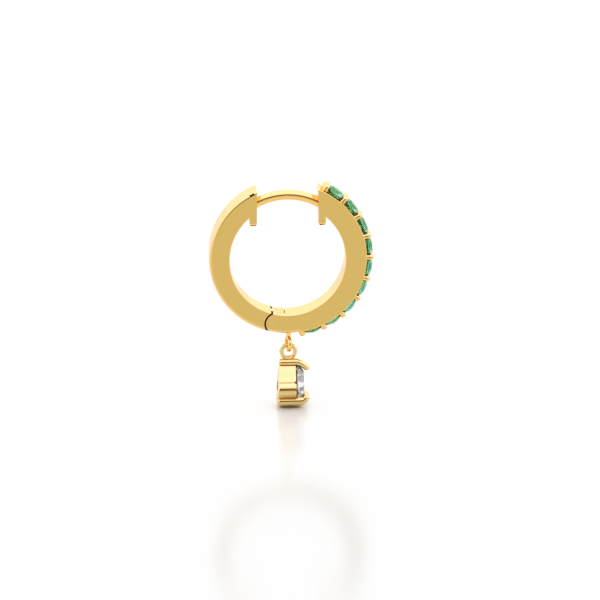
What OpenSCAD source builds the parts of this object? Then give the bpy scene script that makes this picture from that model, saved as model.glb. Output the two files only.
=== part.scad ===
// Hinged hoop earring with a row of emeralds on its front half and a small pear diamond charm.
// The origin is the middle of the ear post, where the earring hangs in the ear lobe.
// +X points to the stone-set front half, +Z points up, and the hoop's axis is Y.

/* [Hoop] */
// Diameter of the round opening inside the hoop
bore_d = 9.24; // [8.4:0.02:10]
// Diameter of the hoop's outer outline
outer_d = 12.44; // [12:0.02:13.6]
// Shift of the outer outline towards the stone-set half
outer_shift_x = 0.04; // [0:0.01:0.2]
// Shift of the outer outline upwards
outer_shift_z = 0.05; // [0:0.01:0.3]
// Width of the hoop between its two flat sides
hoop_w = 2.2; // [2.1:0.05:3]
// Rounding of the hoop's outer edges
edge_r = 0.16; // [0.05:0.01:0.3]
// Bevel of the edges of the opening
bore_bevel = 0.06; // [0.02:0.01:0.15]

/* [Ear post] */
// Diameter of the post wire
post_d = 0.8; // [0.7:0.01:0.9]
// How far the curved post's centre line lies outside the opening
post_rise = 0.48; // [0.42:0.01:0.6]
// Free width between the two top ends of the hoop
end_gap = 4.92; // [4:0.02:5.6]
// Thickness of the plate at each top end
plate_t = 0.6; // [0.4:0.02:0.8]
// How far each end plate reaches into the opening
plate_tab = 0.53; // [0.3:0.01:0.8]
// How far each plate lies inside the hoop's flat sides
plate_inset = 0.04; // [0.02:0.01:0.1]
// Length of the post's free end inside the catch hole
catch_depth = 0.5; // [0.3:0.01:0.6]
// Free space round the post in the catch hole
catch_gap = 0.06; // [0.05:0.01:0.12]
// Length of the fingernail nick in the outer edge of the plain half
nick_l = 0.34; // [0.2:0.02:0.5]
// Diameter of the tool that cuts the nick
nick_d = 0.2; // [0.1:0.01:0.3]

/* [Hinge] */
// Distance of the hinge pin from the hoop's middle line, towards the plain half
hinge_x = 0.885; // [0.7:0.005:1]
// Diameter of the hinge pin
pin_d = 0.46; // [0.36:0.01:0.6]
// How far the round seam reaches past half the hoop's thickness
seam_over = 0.205; // [0.15:0.005:0.4]
// How far the tongue's round end reaches past half the hoop's thickness
tongue_over = 0.18; // [0.06:0.01:0.24]
// Width of the tongue
tongue_w = 0.74; // [0.6:0.02:1]
// Play between the moving parts of the hinge
hinge_gap = 0.04; // [0.03:0.01:0.08]
// Play of the pin in its holes
pin_gap = 0.02; // [0.01:0.005:0.04]
// How far each end of the pin lies under the hoop's flat side
pin_inset = 0.02; // [0.01:0.005:0.05]

/* [Emeralds] */
// Angle of the row's lowest prongs below the horizontal; the row starts at the front end plate
row_end_angle = 81.1; // [74:0.1:82]
// How far the row's middle lies past the outer outline's middle, towards the stone-set half
row_shift_x = 0.17; // [0:0.01:0.25]
// Space between neighbouring emeralds at the girdle
emerald_space = 0.16; // [0.12:0.01:0.2]
// Height of the emeralds' girdle over the hoop's outer surface
girdle_rise = 0.13; // [0.1:0.01:0.3]
// Diameter of each prong
prong_d = 0.46; // [0.4:0.01:0.52]
// How far each prong bites over the girdle of its two emeralds
prong_bite = 0.05; // [0.03:0.01:0.07]
// Height of the prong tips over the emeralds' tables
prong_rise = 0.11; // [0.06:0.01:0.18]
// Gap between a cut stone and its metal seat
seat_gap = 0.03; // [0.02:0.005:0.05]

/* [Charm loop] */
// Place of the loop under the hoop, towards the stone-set half
loop_x = 0.11; // [0.1:0.01:0.3]
// Turn of the loop about its upright foot, in degrees
loop_angle = 12; // [0:1:20]
// Wire diameter of the loop
loop_wire = 0.35; // [0.28:0.01:0.4]
// Outer diameter of the loop
loop_d = 1.38; // [1.3:0.01:1.6]
// Height of the solder foot between hoop and loop
foot_h = 0.43; // [0.3:0.01:0.6]
// Wire diameter of the charm's jump ring
ring_wire = 0.36; // [0.28:0.01:0.4]
// Outer diameter of the charm's jump ring
ring_d = 1.46; // [1.36:0.01:1.7]
// Play between the jump ring and the loop that it hangs on
link_gap = 0.06; // [0.04:0.005:0.1]

/* [Charm] */
// Length of the pear diamond, whose point is on top
pear_l = 2.84; // [2.6:0.02:3.1]
// Width of the pear diamond
pear_w = 2.4; // [2.2:0.02:2.6]
// Height of its crown over the girdle
pear_crown = 0.52; // [0.4:0.01:0.56]
// Depth of its pavilion under the girdle
pear_pavilion = 0.9; // [0.7:0.01:1]
// Length of the cup from its back to its rim
cup_l = 1.5; // [1.3:0.02:1.8]
// Place of the lower end of the cup's back behind the loop
cup_back = 0.93; // [0.7:0.01:1.1]
// Lean of the cup's back face in degrees
back_lean = 3; // [0:0.1:4]
// Space between the cup's rim and the diamond's girdle
rim_space = 0.1; // [0.08:0.01:0.16]
// Diameter of the round lobe on each side of the cup
lobe_d = 1.5; // [1.3:0.02:1.6]
// How far the lobes stand out past the diamond's sides
lobe_out = 0.335; // [0.25:0.005:0.4]
// Diameter of the round window in the cup's back
window_d = 1.1; // [0.6:0.02:1.3]
// Diameter of the claw bars
claw_d = 0.64; // [0.56:0.01:0.68]
// Distance between the two lower claws
claw_space = 0.44; // [0.3:0.02:0.5]
// Diameter of the upper claw's tip
top_tip_d = 0.5; // [0.3:0.01:0.54]
// Diameter of the lower claws' tips
low_tip_d = 0.62; // [0.4:0.01:0.64]

/* [Hidden] */

gold = [0.89, 0.76, 0.46];
emerald_green = [0.2, 0.55, 0.35];
diamond_white = [0.9, 0.93, 0.95];

// Smoothness of round parts, and the length by which cutting tools run past a face
$fn = 96;
past = 1;
// Share of a soldered piece's size that is sunk into its neighbour
sunk = 0.3;

bore_r = bore_d / 2;
outer_r = outer_d / 2;
post_r = bore_r + post_rise;
// The hoop's middle lies under the origin by the radius of the curved post
hoop_z = -post_r;

// Half the band's thickness at the hinge, and the pin's place in the middle of it
bottom_r = outer_r - outer_shift_z;
band_half = (bottom_r - bore_r) / 2;
pin_path_r = bore_r + band_half;
pin_x = -hinge_x;
pin_z = hoop_z - sqrt(pin_path_r * pin_path_r - hinge_x * hinge_x);
seam_r = band_half + seam_over;
tongue_r = band_half + tongue_over;

// Places of the end plates
end_x = end_gap / 2;
plate_outer_x = end_x + plate_t;
tab_z = sqrt(bore_r * bore_r - plate_outer_x * plate_outer_x) - plate_tab;
// Angle of the fingernail nick, just behind the plain half's end
nick_angle = 90 + asin((end_x + 0.7 * plate_t) / outer_r);

// The row runs from over the back of the front end plate to its lowest prongs, and is filled by
// nine emeralds, so their diameter follows from the row's length
emerald_count = 9;
row_x = outer_shift_x + row_shift_x;
row_start = acos((plate_outer_x - row_x) / outer_r);
row_step = (row_start + row_end_angle) / emerald_count;
girdle_r = outer_r + girdle_rise;
half_pitch = girdle_r * sin(row_step / 2);
emerald_d = 2 * half_pitch - emerald_space;
emerald_r = emerald_d / 2;

// The emeralds' proportions, as shares of their diameter
table_share = 0.56;
crown_share = 0.15;
pavilion_share = 0.43;
girdle_t = 0.04;
crown_h = crown_share * emerald_d;
table_r = girdle_r + crown_h;

// Prongs
prong_r = prong_d / 2;
// Sideways place of each prong, where it bites over the rims of two neighbouring emeralds
prong_reach = emerald_r + prong_r - prong_bite;
prong_y = sqrt(prong_reach * prong_reach - half_pitch * half_pitch);
prong_tip_r = table_r + prong_rise;
// The prong's shaft is a little thinner than its round head
shaft_share = 0.94;

// Loop and jump ring, hanging from the hoop's lowest point
loop_r = loop_d / 2;
loop_mid_r = loop_r - loop_wire / 2;
foot_z = hoop_z - bottom_r;
loop_z = foot_z - foot_h - loop_r;
ring_r = ring_d / 2;
ring_mid_r = ring_r - ring_wire / 2;
// The charm swings about the lowest wire of the loop
swing_z = loop_z - loop_mid_r;
ring_z = swing_z + loop_wire / 2 + link_gap + ring_wire - ring_r;
ring_low_z = ring_z - ring_r;

// Charm: the claw bars run past the stone's two ends, and the ring is soldered on the upper bar
pear_table = 0.66;
claw_r = claw_d / 2;
solder_bite = 0.13;
top_bar_z = pear_l / 2 + 0.42 * claw_r;
low_bar_z = -pear_l / 2 - 0.86 * claw_r;
cup_x = loop_x - cup_back;
rim_x = cup_x + cup_l;
stone_x = rim_x + rim_space;
charm_z = ring_low_z + solder_bite - claw_r - top_bar_z;

// Angle of prong pair i, counted from the top, and of emerald i
function prong_angle(i) = row_start - i * row_step;
function emerald_angle(i) = prong_angle(i + 0.5);

// Points of an arc round c from angle a0 to a1
function arc(c, r, a0, a1, steps) =
    [for (k = [0 : steps]) let (a = a0 + (a1 - a0) * k / steps) c + r * [cos(a), sin(a)]];

function mirrored(points) = [for (k = [len(points) - 1 : -1 : 0]) [-points[k][0], points[k][1]]];

// Turns a piece about the place x at the outline's height so that its X axis points out at angle a
module turned_out(x, a) {
    translate([x, 0, hoop_z + outer_shift_z]) rotate([0, -a, 0]) children();
}

module at_row(a) {
    turned_out(row_x, a) children();
}

// Round bar along Y, centred on the hoop's middle plane
module bar_across(x, z, r, w) {
    translate([x, 0, z]) rotate([90, 0, 0]) cylinder(r = r, h = w, center = true);
}

// Box given by its lowest and highest corners
module block(low, high) {
    translate(low) cube(high - low);
}

module outer_disc() {
    half = hoop_w / 2;
    low_edge = arc([outer_r - edge_r, edge_r - half], edge_r, -90, 0, 4);
    high_edge = arc([outer_r - edge_r, half - edge_r], edge_r, 0, 90, 4);
    translate([outer_shift_x, 0, hoop_z + outer_shift_z]) rotate([90, 0, 0])
        rotate_extrude() polygon(concat([[0, -half]], low_edge, high_edge, [[0, half]]));
}

module bore_tool() {
    half = hoop_w / 2;
    wide = bore_r + bore_bevel + past;
    translate([0, 0, hoop_z]) rotate([90, 0, 0]) rotate_extrude() polygon([
        [0, -half - past], [wide, -half - past], [bore_r, bore_bevel - half],
        [bore_r, half - bore_bevel], [wide, half + past], [0, half + past],
    ]);
}

// The whole closed band, before it is parted
module band() {
    difference() {
        outer_disc();
        bore_tool();
    }
}

// Space of one half: side is 1 for the stone-set half and -1 for the plain half
module half_space(side) {
    far = outer_d;
    low_x = side > 0 ? pin_x : -far;
    high_x = side > 0 ? far : pin_x;
    top_low = side > 0 ? end_x : -far;
    top_high = side > 0 ? far : -end_x;
    block([low_x, -far, hoop_z - far], [high_x, far, hoop_z + bore_r / 2]);
    block([top_low, -far, hoop_z], [top_high, far, hoop_z + far]);
}

module end_plate(side) {
    y = hoop_w / 2 - plate_inset;
    low_x = side > 0 ? end_x : -plate_outer_x;
    block([low_x, -y, hoop_z + tab_z], [low_x + plate_t, y, hoop_z + bore_r]);
}

// Curved wire from inside the front end plate to its free end in the catch hole
module ear_post() {
    root = 90 - asin((end_x + sunk * plate_t) / post_r);
    tip = 90 + asin((end_x + catch_depth) / post_r);
    translate([0, 0, hoop_z]) rotate([90, 0, 0])
        rotate_extrude(angle = tip - root, start = root) translate([post_r, 0]) circle(d = post_d, $fn = 48);
}

// Slot for the post's free end: tall enough for the post's curve as the hoop swings open
module catch_hole() {
    r = post_d / 2 + catch_gap;
    depth = catch_depth + 2 * catch_gap;
    mouth_z = sqrt(post_r * post_r - end_x * end_x);
    tip_z = sqrt(post_r * post_r - pow(end_x + catch_depth, 2));
    slope_room = post_d / 2 * (1 / cos(asin((end_x + catch_depth) / post_r)) - 1);
    high = hoop_z + mouth_z + slope_room;
    low = hoop_z + tip_z - slope_room;
    for (z = [low, high])
        translate([-end_x + past, 0, z]) rotate([0, -90, 0]) cylinder(r = r, h = depth + past, $fn = 48);
    block([-end_x - depth, -r, low], [past - end_x, r, high]);
}

// Two prongs side by side, standing on the band between two emeralds
module prong_pair() {
    foot = outer_r - sunk * prong_d - edge_r;
    head = prong_tip_r - prong_r;
    for (y = [-prong_y, prong_y]) {
        translate([foot, y, 0]) rotate([0, 90, 0])
            cylinder(r = shaft_share * prong_r, h = head - foot, $fn = 32);
        translate([head, y, 0]) rotate([0, 90, 0]) sphere(r = prong_r, $fn = 32);
    }
}

// Room for one emerald: pavilion cone, girdle and crown, open outwards over the table
module emerald_seat() {
    table = table_share * emerald_r + seat_gap;
    translate([girdle_r, 0, 0]) rotate([0, 90, 0]) rotate_extrude($fn = 48) polygon([
        [0, -pavilion_share * emerald_d - 2 * seat_gap],
        [emerald_r + seat_gap, -seat_gap / 2],
        [emerald_r + seat_gap, girdle_t + seat_gap],
        [table, crown_h + seat_gap],
        [table, crown_h + past],
        [0, crown_h + past],
    ]);
}

// Loop across the hoop, turned a little, on a small solder foot
module charm_loop() {
    foot_low = foot_z - foot_h - sunk * loop_wire;
    foot_high = foot_z + sunk * edge_r + seat_gap;
    translate([loop_x, 0, loop_z]) rotate([0, 90, loop_angle])
        rotate_extrude($fn = 64) translate([loop_mid_r, 0]) circle(d = loop_wire, $fn = 32);
    translate([loop_x, 0, foot_low])
        cylinder(r1 = loop_wire / 2, r2 = loop_wire, h = foot_high - foot_low, $fn = 48);
}

module hinge_hole() {
    bar_across(pin_x, pin_z, pin_d / 2 + pin_gap, hoop_w + 2 * past);
}

module front_hoop() {
    slot_w = tongue_w + 2 * hinge_gap;
    color(gold) difference() {
        union() {
            intersection() {
                band();
                union() {
                    half_space(1);
                    bar_across(pin_x, pin_z, seam_r, hoop_w + past);
                }
            }
            end_plate(1);
            ear_post();
            charm_loop();
            for (i = [0 : emerald_count]) at_row(prong_angle(i)) prong_pair();
        }
        for (i = [0 : emerald_count - 1]) at_row(emerald_angle(i)) emerald_seat();
        bar_across(pin_x, pin_z, tongue_r + hinge_gap, slot_w);
        block([pin_x - 2 * seam_r, -slot_w / 2, pin_z - 2 * seam_r], [pin_x, slot_w / 2, pin_z + 2 * seam_r]);
        hinge_hole();
    }
}

module back_hoop() {
    color(gold) difference() {
        union() {
            difference() {
                intersection() {
                    band();
                    half_space(-1);
                }
                bar_across(pin_x, pin_z, seam_r + hinge_gap, hoop_w + past);
            }
            intersection() {
                band();
                union() {
                    bar_across(pin_x, pin_z, tongue_r, tongue_w);
                    block([pin_x - 2 * seam_r, -tongue_w / 2, pin_z - 2 * seam_r],
                        [pin_x, tongue_w / 2, pin_z + 2 * seam_r]);
                }
            }
            end_plate(-1);
        }
        catch_hole();
        hinge_hole();
        turned_out(outer_shift_x, nick_angle) translate([outer_r - edge_r, -hoop_w / 2, 0])
            cylinder(d = nick_d, h = nick_l, center = true, $fn = 32);
    }
}

module hinge_pin() {
    color(gold) bar_across(pin_x, pin_z, pin_d / 2, hoop_w - 2 * pin_inset);
}

// Each ring is a list of points in counterclockwise order, and the solid joins them from the top down
module ring_stack(rings) {
    n = len(rings[0]);
    last = len(rings) - 1;
    polyhedron(
        points = [for (ring = rings) each ring],
        faces = concat(
            [[for (k = [n - 1 : -1 : 0]) k], [for (k = [0 : n - 1]) last * n + k]],
            [for (s = [0 : last - 1]) each ring_joint(s * n, (s + 1) * n, n)]
        )
    );
}

// Triangles between a ring of n points that starts at a and the ring under it that starts at b
function ring_joint(a, b, n) = [for (k = [0 : n - 1]) let (m = (k + 1) % n)
    each [[a + k, b + m, b + k], [a + k, a + m, b + m]]];

// An outline of flat points drawn in towards its middle to the given share, at height z
function drawn_in(outline, middle, share, z) =
    [for (p = outline) let (q = middle + share * (p - middle)) [q[0], q[1], z]];

// The outline's points with an even number, or with an odd one if first is 1
function every_second(outline, first) = [for (k = [first : 2 : len(outline) - 1]) outline[k]];

// Brilliant cut along +Z over an outline of 16 points, with its girdle's lower edge at zero:
// table, star, kite and upper girdle facets over a pavilion of mains and lower girdle facets
module brilliant(outline, middle, table, crown, pavilion) {
    n = 8;
    flat = cos(180 / n);
    star_share = (1 + table) / 2;
    star_z = girdle_t + crown * (1 - star_share * flat) / (1 - table);
    main_share = 0.2;
    main_z = -pavilion * (1 - main_share * flat);
    even = every_second(outline, 0);
    odd = every_second(outline, 1);
    star = n;
    top = 2 * n;
    low = 4 * n;
    main = 6 * n;
    culet = 7 * n;
    polyhedron(
        points = concat(
            drawn_in(even, middle, table, girdle_t + crown),
            drawn_in(odd, middle, star_share, star_z),
            drawn_in(outline, middle, 1, girdle_t),
            drawn_in(outline, middle, 1, 0),
            drawn_in(odd, middle, main_share, main_z),
            drawn_in([middle], middle, 1, -pavilion)
        ),
        faces = concat(
            [[for (k = [n - 1 : -1 : 0]) k]],
            [for (k = [0 : n - 1]) let (m = (k + 1) % n, g = 2 * k) each [
                [k, m, star + k],
                [m, top + 2 * m, star + k], [m, star + m, top + 2 * m],
                [star + k, top + g + 1, top + g], [star + k, top + 2 * m, top + g + 1],
                [main + k, low + g, low + g + 1], [main + k, low + g + 1, low + 2 * m],
                [main + k, low + 2 * m, culet], [main + m, culet, low + 2 * m],
            ]],
            ring_joint(top, low, 2 * n)
        )
    );
}

module emerald(i) {
    color(emerald_green) at_row(emerald_angle(i)) translate([girdle_r, 0, 0]) rotate([0, 90, 0])
        brilliant(arc([0, 0], emerald_r, 0, 337.5, 15), [0, 0], table_share, crown_h,
            pavilion_share * emerald_d);
}

// Turns a flat drawing of the charm, seen from its front, so that its height points out along +X
module charm_face(x) {
    translate([x, 0, charm_z]) rotate([90, 0, 90]) children();
}

// Pear outline with its point on top, grown on every side, in 16 steps.
// The curve sin(a) * sin(a / 2) has its widest place at this value.
pear_peak = 4 / (3 * sqrt(3));
function pear_outline(grow) = [for (k = [0 : 15]) let (a = 22.5 * k) [
    -(pear_w / 2 + grow) / pear_peak * sin(a) * sin(a / 2),
    (pear_l / 2 + grow) * cos(a),
]];
// The culet and the table lie nearer to the pear's round end than to its point
pear_middle = [0, -0.28 * pear_l / 2];

// Half of the cup's outline, from the upper bar down to the middle of the lower bars:
// a slightly curved flank, a crease, and a round lobe that runs out under the stone
function cup_side() = let (
    lobe_r = lobe_d / 2,
    lobe_c = [pear_w / 2 + lobe_out - lobe_r, -0.32 * pear_l / 2],
    crease = lobe_c + lobe_r * [cos(60), sin(60)],
    start = [0.21 * pear_w / 2, 0.88 * pear_l / 2],
    reach = 0.65 * norm(crease - start),
    low_point = [0, -pear_l / 2 - 0.4 * claw_r],
    lobe_end = lobe_c + lobe_r * [cos(20), -sin(20)],
    low_half = norm(low_point - lobe_end) / 2,
    low_turn = atan2(lobe_end[1] - low_point[1], lobe_end[0]),
    low_r = low_half / sin(low_turn),
    low_c = [0, low_point[1] + low_r]
) concat(
    [[0.1 * pear_w / 2, top_bar_z - claw_r / 2]],
    curve(start, start + reach * [cos(45), -sin(45)], crease - reach * [cos(40), -sin(40)], crease, 6),
    arc(lobe_c, lobe_r, 48, -20, 6),
    arc(low_c, low_r, -90 + 1.6 * low_turn, -90 + 0.4 * low_turn, 3)
);

// Points of a smooth curve from a to d that leaves a towards b and reaches d from c
function curve(a, b, c, d, steps) = [for (k = [0 : steps]) let (t = k / steps, u = 1 - t)
    u * u * u * a + 3 * u * u * t * b + 3 * u * t * t * c + t * t * t * d];

// Bar along X from the cup's back, whose front end bends over the stone along the path's points
module claw(y, z, path, tip_r) {
    n = len(path);
    radius = [for (k = [0 : n - 1]) claw_r + (tip_r - claw_r) * k / (n - 1)];
    bevel = 0.35 * claw_r;
    back_x = cup_x + tan(back_lean) * (z - low_bar_z);
    translate([0, y, charm_z + z]) {
        translate([back_x + bevel, 0, 0]) rotate([0, 90, 0])
            cylinder(r = shaft_share * claw_r, h = stone_x + path[0][0] - back_x - bevel, $fn = 48);
        translate([back_x, 0, 0]) rotate([0, 90, 0])
            cylinder(r1 = claw_r - bevel, r2 = shaft_share * claw_r, h = bevel, $fn = 48);
        for (k = [0 : n - 1])
            translate([stone_x + path[k][0], 0, path[k][1]]) sphere(r = radius[k], $fn = 48);
        for (k = [0 : n - 2]) let (d = path[k + 1] - path[k])
            translate([stone_x + path[k][0], 0, path[k][1]]) rotate([0, atan2(d[0], d[1]), 0])
                cylinder(r1 = shaft_share * radius[k], r2 = shaft_share * radius[k + 1], h = norm(d), $fn = 48);
    }
}

// The upper claw hooks over the pear's point, and the two lower ones curl up over its round end
module charm_claws() {
    bend = [0.1 * claw_r, 0];
    over = 0.86 * pear_crown;
    top_path = [bend, [0.69 * pear_crown, -0.53 * claw_r], [over + 0.8 * claw_r, -1.47 * claw_r]];
    low_path = [bend, [0.79 * pear_crown, 0.1 * claw_r], [over + 0.55 * claw_r, 0.82 * claw_r]];
    claw(0, top_bar_z, top_path, top_tip_d / 2);
    for (y = [-claw_space / 2, claw_space / 2]) claw(y, low_bar_z, low_path, low_tip_d / 2);
}

// Room for the diamond between the claws: its girdle and crown, with the seat's gap around them
module diamond_room() {
    outline = pear_outline(seat_gap);
    top = pear_crown + girdle_t + seat_gap;
    charm_face(stone_x) ring_stack([
        drawn_in(outline, pear_middle, pear_table, top),
        drawn_in(outline, pear_middle, 1, girdle_t + seat_gap),
        drawn_in(outline, pear_middle, 1, 0),
        drawn_in(outline, pear_middle, 0.2, -0.8 * pear_pavilion),
    ]);
}

module charm_setting() {
    pocket_share = 0.93;
    pocket_l = rim_space + pear_pavilion;
    floor_x = stone_x - pocket_l - seat_gap;
    notch_r = 0.06 * lobe_d;
    notch_z = charm_z + 0.14 * pear_l / 2;
    half = pear_w;
    color(gold) difference() {
        union() {
            translate([loop_x, 0, ring_z]) rotate([90, 0, 0])
                rotate_extrude($fn = 64) translate([ring_mid_r, 0]) circle(d = ring_wire, $fn = 32);
            charm_face(cup_x) linear_extrude(cup_l) polygon(concat(cup_side(), mirrored(cup_side())));
            charm_claws();
        }
        // Pocket under the stone, and the window behind it
        charm_face(floor_x) linear_extrude(rim_x - floor_x + past)
            polygon([for (p = drawn_in(pear_outline(0), pear_middle, pocket_share, 0)) [p[0], p[1]]]);
        charm_face(cup_x - past) translate(pear_middle) cylinder(d = window_d, h = cup_l, $fn = 64);
        diamond_room();
        // Small notch in the rim at the end of each crease
        bar_across(rim_x - notch_r / 2, notch_z, notch_r, 2 * pear_w);
        // Lean of the back face
        translate([cup_x, 0, charm_z + low_bar_z]) rotate([0, back_lean, 0])
            block([-past, -half, -claw_r], [0, half, 2 * pear_l]);
    }
}

module charm_diamond() {
    color(diamond_white) charm_face(stone_x)
        brilliant(pear_outline(0), pear_middle, pear_table, pear_crown, pear_pavilion);
}

front_hoop();
back_hoop();
hinge_pin();
emerald(0);  // emerald_1
emerald(1);  // emerald_2
emerald(2);  // emerald_3
emerald(3);  // emerald_4
emerald(4);  // emerald_5
emerald(5);  // emerald_6
emerald(6);  // emerald_7
emerald(7);  // emerald_8
emerald(8);  // emerald_9
charm_setting();
charm_diamond();
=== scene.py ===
import math

import bmesh
import bpy
from mathutils import Matrix, Vector


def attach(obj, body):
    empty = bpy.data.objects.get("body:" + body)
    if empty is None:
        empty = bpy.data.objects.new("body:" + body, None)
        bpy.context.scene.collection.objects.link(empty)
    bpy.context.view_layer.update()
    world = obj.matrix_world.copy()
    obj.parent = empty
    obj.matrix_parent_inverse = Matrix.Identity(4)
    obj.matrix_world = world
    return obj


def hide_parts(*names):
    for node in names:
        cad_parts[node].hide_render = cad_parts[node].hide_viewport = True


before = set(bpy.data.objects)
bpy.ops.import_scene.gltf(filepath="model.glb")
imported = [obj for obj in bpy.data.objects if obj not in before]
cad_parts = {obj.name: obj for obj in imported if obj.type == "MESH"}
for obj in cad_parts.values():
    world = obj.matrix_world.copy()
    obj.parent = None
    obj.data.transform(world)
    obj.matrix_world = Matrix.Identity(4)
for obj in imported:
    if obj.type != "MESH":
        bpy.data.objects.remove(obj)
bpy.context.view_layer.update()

# Every piece is modelled in millimetres round the middle of the ear post, and turned to metres at the end.
# +X points to the stone-set front half, +Z up, and the hoop's axis is Y.
MM = 0.001

# Hoop
# The opening is round. The outer outline is slightly oval, and its centre is a little off the
# opening's. OUTER_R is near its mean radius, and places what sits on it.
BORE_R = 4.62
OUTER_R = 6.22
OVAL_W = 6.285
OVAL_H = 6.17
OUTER_X = 0.04
OUTER_Z = 0.05
HOOP_W = 2.2
EDGE_R = 0.22
ROW_EDGE_R = 0.06
BORE_EDGE = 0.07
SOFT_EDGE = 0.02
HOOP_Z = -5.1
ROUND_STEPS = 360

# Cutters: how far the large ones reach, how far the end cut goes under the hoop's middle, and the
# room that the hinge's cutters take round the pin
FAR = 20.0
END_CUT_DROP = 1
HINGE_ROOM = 3

# Ear post and the two end plates
POST_R = 5.1
POST_D = 0.8
END_X = 2.445
PLATE_T = 0.6
PLATE_TAB = 0.64
PLATE_TOP = HOOP_Z + BORE_R - 0.3
PLATE_SLIP = 0.004
PLATE_SIDE_R = 0.035
PLATE_LOW_R = 0.2
CATCH_DEPTH = 0.5
CATCH_GAP = 0.06

# Fingernail nick
NICK_DEPTH = 0.13
NICK_R = OUTER_R - NICK_DEPTH
NICK_ANGLE = 118.3
NICK_CUT_R = 0.055
NICK_CUT_L = 0.36
NICK_IN = 0.05

# Hinge
PIN_X = -0.885
PIN_D = 0.46
PIN_GAP = 0.002
PIN_SHORT = 0.001
PIN_EDGE = 0.012
SEAM_OVER = 0.205
TONGUE_OVER = 0.18
TONGUE_W = 0.74
HINGE_GAP = 0.04
SEAM_GAP = 0.12
BAND_HALF = (OUTER_R - OUTER_Z - BORE_R) / 2
PIN_Z = HOOP_Z - math.sqrt((BORE_R + BAND_HALF) ** 2 - PIN_X ** 2)
SEAM_R = BAND_HALF + SEAM_OVER
TONGUE_R = BAND_HALF + TONGUE_OVER

# Row of emeralds and prongs
STONES = 9
ROW_SHIFT = 0.17
ROW_X = OUTER_X + ROW_SHIFT
ROW_START = math.degrees(math.acos((END_X + PLATE_T - ROW_X) / OUTER_R))
ROW_END = 81.1
ROW_STEP = (ROW_START + ROW_END) / STONES
GIRDLE_RISE = 0.13
GIRDLE_R = OUTER_R + GIRDLE_RISE
HALF_PITCH = GIRDLE_R * math.sin(math.radians(ROW_STEP / 2))
STONE_SPACE = 0.16
STONE_R = HALF_PITCH - STONE_SPACE / 2
GIRDLE_T = 0.04
CROWN_SHARE = 0.15
PAVILION_SHARE = 0.43
CROWN_H = CROWN_SHARE * 2 * STONE_R
PAVILION_H = PAVILION_SHARE * 2 * STONE_R
TABLE_SHARE = 0.56
SEAT_GAP = 0.03
PRONG_R = 0.26
PRONG_FROM_STONE = 0.18
PRONG_RISE = 0.11
PRONG_FOOT = 0.3
PRONG_Y = math.sqrt((STONE_R + PRONG_FROM_STONE) ** 2 - HALF_PITCH ** 2)
PRONG_TIP = GIRDLE_R + CROWN_H + PRONG_RISE

# Loop and jump ring
LOOP_X = 0.11
LOOP_ANGLE = 12
LOOP_WIRE = 0.35
LOOP_R = 0.69
LOOP_MID = LOOP_R - LOOP_WIRE / 2
FOOT_H = 0.43
FOOT_Z = HOOP_Z - OUTER_R + OUTER_Z
LOOP_Z = FOOT_Z - FOOT_H - LOOP_R
RING_WIRE = 0.36
RING_R = 0.73
RING_MID = RING_R - RING_WIRE / 2
LINK_GAP = 0.06
RING_Z = LOOP_Z - LOOP_MID + LOOP_WIRE / 2 + LINK_GAP + RING_WIRE - RING_R

# Charm: a pear diamond with its point on top, in a closed cup between claw bars
PEAR_L = 2.84
PEAR_W = 2.4
PEAR_CROWN = 0.52
CLAW_R = 0.32
TOP_TIP_R = 0.25
TOP_BAR_SHARE = 0.42
TOP_BAR = PEAR_L / 2 + TOP_BAR_SHARE * CLAW_R
LOW_CLAW_R = 0.43
LOW_CLAW_Y = 0.48
LOW_TIP_R = 0.32
LOW_BAR_DROP = 0.13
LOW_BAR = -PEAR_L / 2 - LOW_BAR_DROP
RING_SUNK = 0.13
CHARM_Z = RING_Z - RING_R + RING_SUNK - CLAW_R - TOP_BAR
CUP_BACK = 0.93
CUP_L = 1.5
RIM_SPACE = 0.1
CUP_X = LOOP_X - CUP_BACK
RIM_X = CUP_X + CUP_L
BACK_LEAN = 3
BACK_EDGE = 0.1
STONE_X = RIM_X + RIM_SPACE
LOBE_R = 0.75
LOBE_OUT = 0.335
LOBE_DROP = 0.32
CUP_DROP = 0.08
POCKET_SHARE = 0.93
POCKET_DEPTH = 1.03
WINDOW_R = 0.4
WINDOW_DROP = 0.4
NOTCH_R = 0.09
NOTCH_IN = 0.045
NOTCH_RISE = 0.2

# Floor: its gap under the lower claws
FLOOR_GAP = 0.15

# The Mix node's colour sockets and the all-colour curve, by their places
MIX_A = 6
MIX_B = 7
MIX_OUT = 2
ALL_COLOURS = 3


def deselect():
    bpy.ops.object.select_all(action="DESELECT")


def make_active(obj):
    deselect()
    obj.select_set(True)
    bpy.context.view_layer.objects.active = obj


def added():
    """The primitive that was just added."""
    return bpy.context.view_layer.objects.active


def begin_edit(obj):
    make_active(obj)
    bpy.ops.object.mode_set(mode="EDIT")


def end_edit():
    bpy.ops.object.mode_set(mode="OBJECT")


def pick(obj, kind, test):
    """In edit mode, selects the vertices, edges or faces whose middle passes the test."""
    bpy.ops.mesh.select_mode(type=kind)
    bpy.ops.mesh.select_all(action="DESELECT")
    mesh = bmesh.from_edit_mesh(obj.data)
    if kind == "VERT":
        for v in mesh.verts:
            v.select_set(test(v.co))
    elif kind == "EDGE":
        for e in mesh.edges:
            e.select_set(test((e.verts[0].co + e.verts[1].co) / 2))
    else:
        for f in mesh.faces:
            f.select_set(test(f.calc_center_median()))
    mesh.select_flush_mode()
    bmesh.update_edit_mesh(obj.data)


def pick_edges(obj, test):
    """In edit mode, selects the edges whose two ends both pass the test."""
    bpy.ops.mesh.select_mode(type="EDGE")
    bpy.ops.mesh.select_all(action="DESELECT")
    mesh = bmesh.from_edit_mesh(obj.data)
    for e in mesh.edges:
        e.select_set(all(test(v.co) for v in e.verts))
    mesh.select_flush_mode()
    bmesh.update_edit_mesh(obj.data)


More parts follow.
